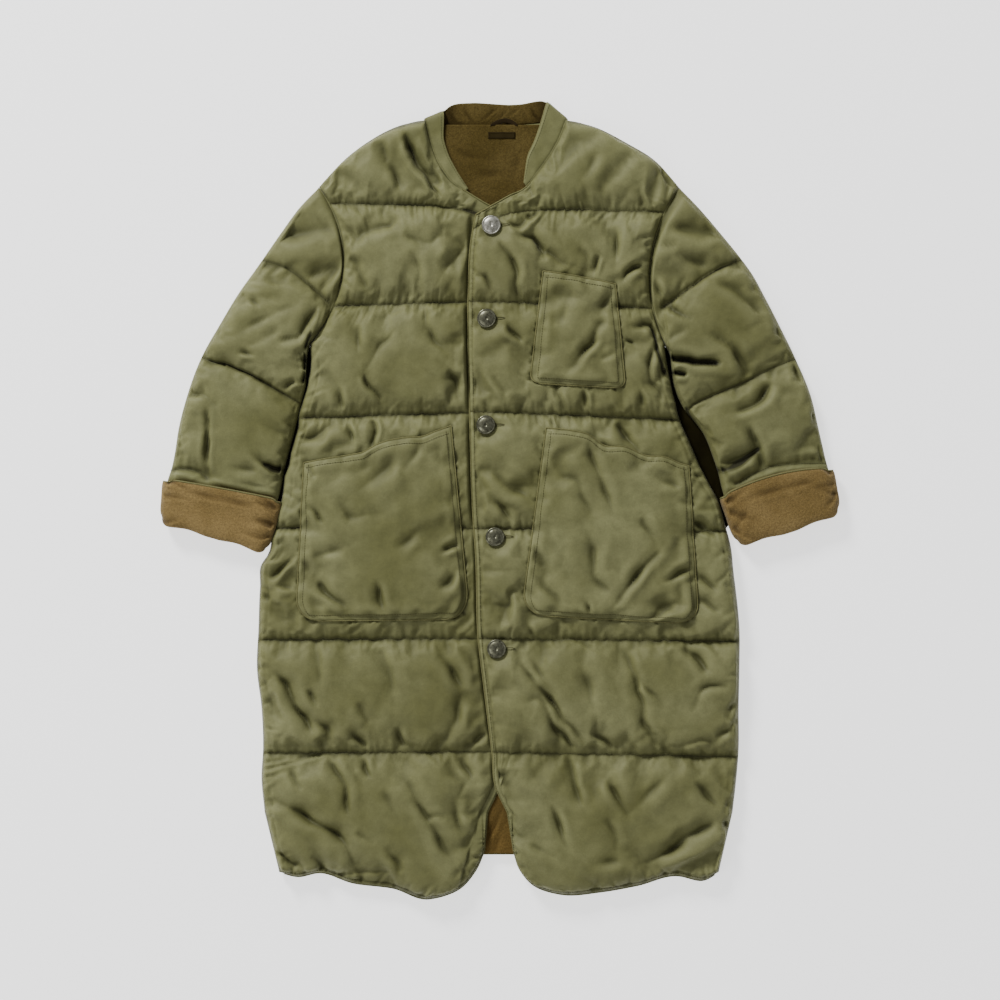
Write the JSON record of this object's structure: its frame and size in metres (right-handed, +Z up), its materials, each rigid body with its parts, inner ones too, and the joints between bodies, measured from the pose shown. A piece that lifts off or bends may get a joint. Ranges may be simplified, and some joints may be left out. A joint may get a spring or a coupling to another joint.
{
  "type": "quilted work coat",
  "caption": "Long quilted work coat laid flat, buttoned down the front, with a band collar, patch pockets and turned-back wool cuffs.",
  "frame": {"origin": "on the surface that the coat lies on, at the middle of its outline", "axes": "+X towards the wearer's left sleeve, +Y from the hem to the collar, +Z up out of the front"},
  "size_m": [0.8851, 1.0399, 0.028],
  "materials": {
    "olive_quilting": "quilted padded cotton, slight sheen",
    "brown_wool": "brushed wool",
    "brown_lining": "brushed wool in shadow",
    "label_cloth": "woven tape, left bare",
    "button_metal": "aged, satin"
  },
  "bodies": {
    "root": {"front_right": "olive_quilting", "front_left": "olive_quilting", "back_panel": "olive_quilting", "sleeve_right": "olive_quilting", "sleeve_left": "olive_quilting", "collar": "olive_quilting", "pocket_chest": "olive_quilting", "pocket_lower_right": "olive_quilting", "pocket_lower_left": "olive_quilting", "cuff_right": "brown_wool", "cuff_left": "brown_wool", "lining_neck": "brown_lining", "lining_hem": "brown_lining", "hanger_loop": "brown_lining", "neck_label": "label_cloth", "button_1": "button_metal", "button_2": "button_metal", "button_3": "button_metal", "button_4": "button_metal", "button_5": "button_metal"}
  },
  "joints": []
}
